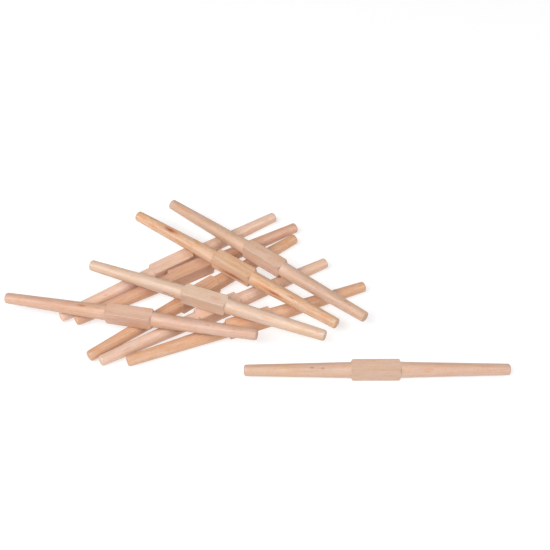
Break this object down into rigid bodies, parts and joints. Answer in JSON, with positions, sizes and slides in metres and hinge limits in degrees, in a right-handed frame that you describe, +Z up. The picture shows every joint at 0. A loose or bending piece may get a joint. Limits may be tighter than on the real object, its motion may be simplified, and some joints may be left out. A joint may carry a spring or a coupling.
{
  "type": "set of claves",
  "caption": "Set of turned wooden claves with a square grip block in the middle and tapered round arms, heaped crosswise in two layers with one in front.",
  "frame": {"origin": "middle of the set's footprint, on the surface that the claves lie on", "axes": "+Z up, +X along the set's longest side, +Y towards the back of the set; the claves of the floor layer point between +X and +Y"},
  "size_m": [0.5804, 0.2596, 0.037],
  "materials": {
    "upper_clave_1_wood": "satin",
    "upper_clave_2_wood": "satin",
    "upper_clave_3_wood": "satin",
    "upper_clave_4_wood": "satin",
    "lower_clave_1_wood": "satin",
    "lower_clave_2_wood": "satin",
    "lower_clave_3_wood": "satin",
    "lower_clave_4_wood": "satin",
    "lower_clave_5_wood": "satin",
    "front_clave_wood": "satin"
  },
  "bodies": {
    "upper_clave_1": {"upper_clave_1": "upper_clave_1_wood"},
    "upper_clave_2": {"upper_clave_2": "upper_clave_2_wood"},
    "upper_clave_3": {"upper_clave_3": "upper_clave_3_wood"},
    "upper_clave_4": {"upper_clave_4": "upper_clave_4_wood"},
    "lower_clave_1": {"lower_clave_1": "lower_clave_1_wood"},
    "lower_clave_2": {"lower_clave_2": "lower_clave_2_wood"},
    "lower_clave_3": {"lower_clave_3": "lower_clave_3_wood"},
    "lower_clave_4": {"lower_clave_4": "lower_clave_4_wood"},
    "lower_clave_5": {"lower_clave_5": "lower_clave_5_wood"},
    "front_clave": {"front_clave": "front_clave_wood"}
  },
  "joints": [
    {"name": "upper_clave_1_lift", "type": "slide", "parent": "lower_clave_2", "child": "upper_clave_1", "axis": [0, 0, 1], "range_m": [0, 0.1]},
    {"name": "upper_clave_2_lift", "type": "slide", "parent": "lower_clave_2", "child": "upper_clave_2", "axis": [0, 0, 1], "range_m": [0, 0.1]},
    {"name": "upper_clave_3_lift", "type": "slide", "parent": "lower_clave_2", "child": "upper_clave_3", "axis": [0, 0, 1], "range_m": [0, 0.1]},
    {"name": "upper_clave_4_lift", "type": "slide", "parent": "lower_clave_2", "child": "upper_clave_4", "axis": [0, 0, 1], "range_m": [0, 0.1]},
    {"name": "front_clave_lift", "type": "slide", "parent": "lower_clave_2", "child": "front_clave", "axis": [0, 0, 1], "range_m": [0, 0.1]},
    {"name": "lower_clave_1_slide_out", "type": "slide", "parent": "lower_clave_2", "child": "lower_clave_1", "axis": [-0.5519, 0.8339, 0], "range_m": [0, 0.12]},
    {"name": "lower_clave_3_endwise", "type": "slide", "parent": "lower_clave_2", "child": "lower_clave_3", "axis": [0.788, 0.6157, 0], "range_m": [-0.006, 0.004]},
    {"name": "lower_clave_4_endwise", "type": "slide", "parent": "lower_clave_2", "child": "lower_clave_4", "axis": [0.866, 0.5, 0], "range_m": [-0.002, 0.002]},
    {"name": "lower_clave_5_slide_out", "type": "slide", "parent": "lower_clave_2", "child": "lower_clave_5", "axis": [-0.8643, -0.503, 0], "range_m": [0, 0.26]}
  ]
}
